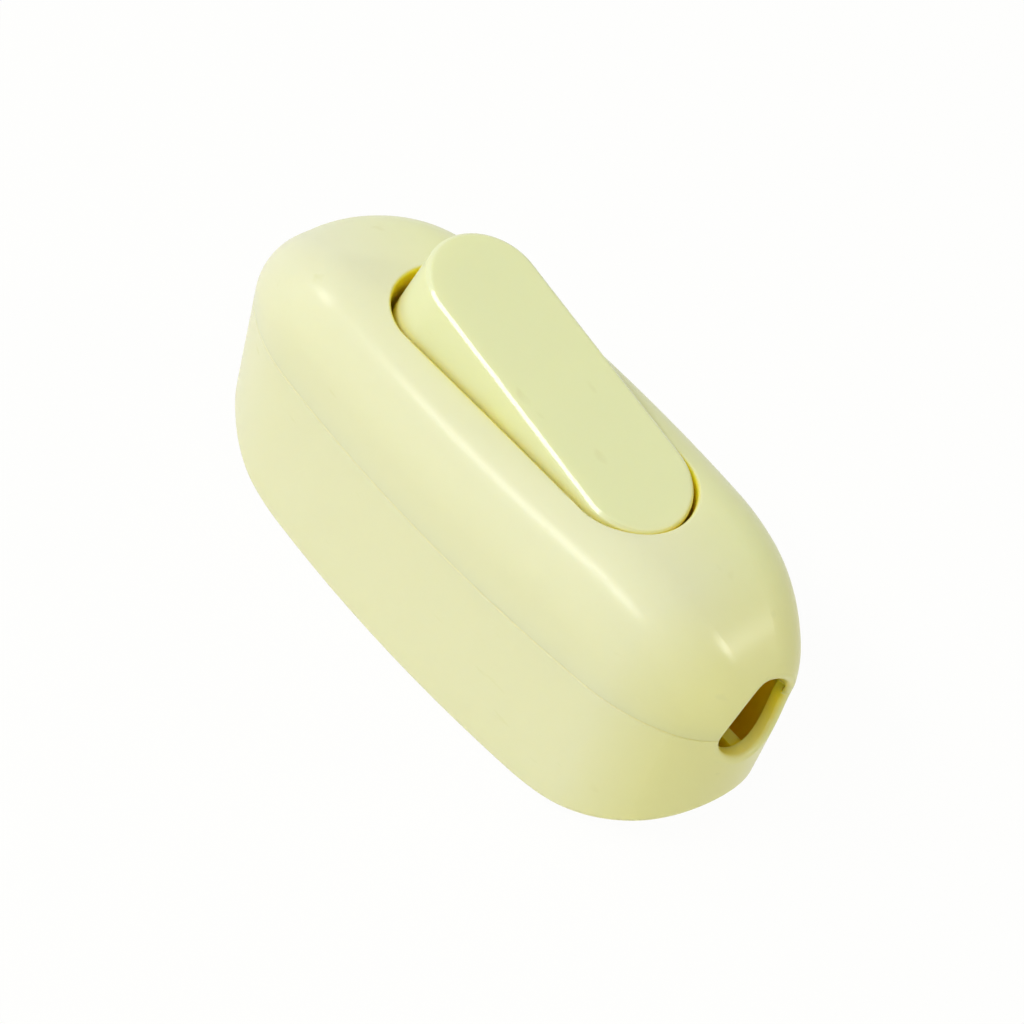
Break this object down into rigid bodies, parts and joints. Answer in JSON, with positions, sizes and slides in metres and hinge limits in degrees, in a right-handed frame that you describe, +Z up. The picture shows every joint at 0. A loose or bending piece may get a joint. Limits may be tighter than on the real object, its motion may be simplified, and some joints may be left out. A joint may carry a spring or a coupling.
{
  "type": "inline cord switch",
  "caption": "Inline rocker switch for a cord: rounded two-part plastic housing, a tilting rocker in the top and a round cord inlet at each end.",
  "frame": {"origin": "middle of the flat underside", "axes": "+X along the cord towards the pressed end of the rocker, +Z up from the underside to the rocker"},
  "size_m": [0.06, 0.0218, 0.0321],
  "materials": {
    "housing_plastic": "satin gloss",
    "rocker_plastic": "satin gloss",
    "brass": "satin",
    "spring_steel": "satin",
    "contact_silver": "satin",
    "zinc_steel": "satin"
  },
  "bodies": {
    "housing": {"base": "housing_plastic", "cover": "housing_plastic", "fixed_contact": "contact_silver", "line_in_terminal": "brass", "line_out_terminal": "brass", "terminal_washers": "zinc_steel", "terminal_screws": "zinc_steel", "neutral_link": "brass", "neutral_screws": "zinc_steel", "front_cord_clamp": "housing_plastic", "rear_cord_clamp": "housing_plastic", "clamp_screws": "zinc_steel", "housing_screws": "zinc_steel"},
    "rocker": {"rocker": "rocker_plastic", "plunger_spring": "spring_steel"},
    "plunger": {"plunger": "brass"},
    "contact_lever": {"contact_lever": "brass", "moving_contact": "contact_silver"}
  },
  "joints": [
    {"name": "rocker_pivot", "type": "hinge", "parent": "housing", "child": "rocker", "pos_m": [0, 0, 0.0235], "axis": [0, -1, 0], "range_deg": [0, 25.4]},
    {"name": "plunger_slide", "type": "slide", "parent": "rocker", "child": "plunger", "axis": [0.2198, 0, 0.9755], "range_m": [0, 0.0005], "stiffness_N_per_m": 400, "springref_m": -0.002, "deforming": ["plunger_spring"]},
    {"name": "lever_pivot", "type": "hinge", "parent": "housing", "child": "contact_lever", "pos_m": [0, 0, 0.0102], "axis": [0, 1, 0], "range_deg": [0, 19]}
  ],
  "couplings": [
    {"joint": "lever_pivot", "follows": "rocker_pivot", "ratio": 0.74803}
  ]
}
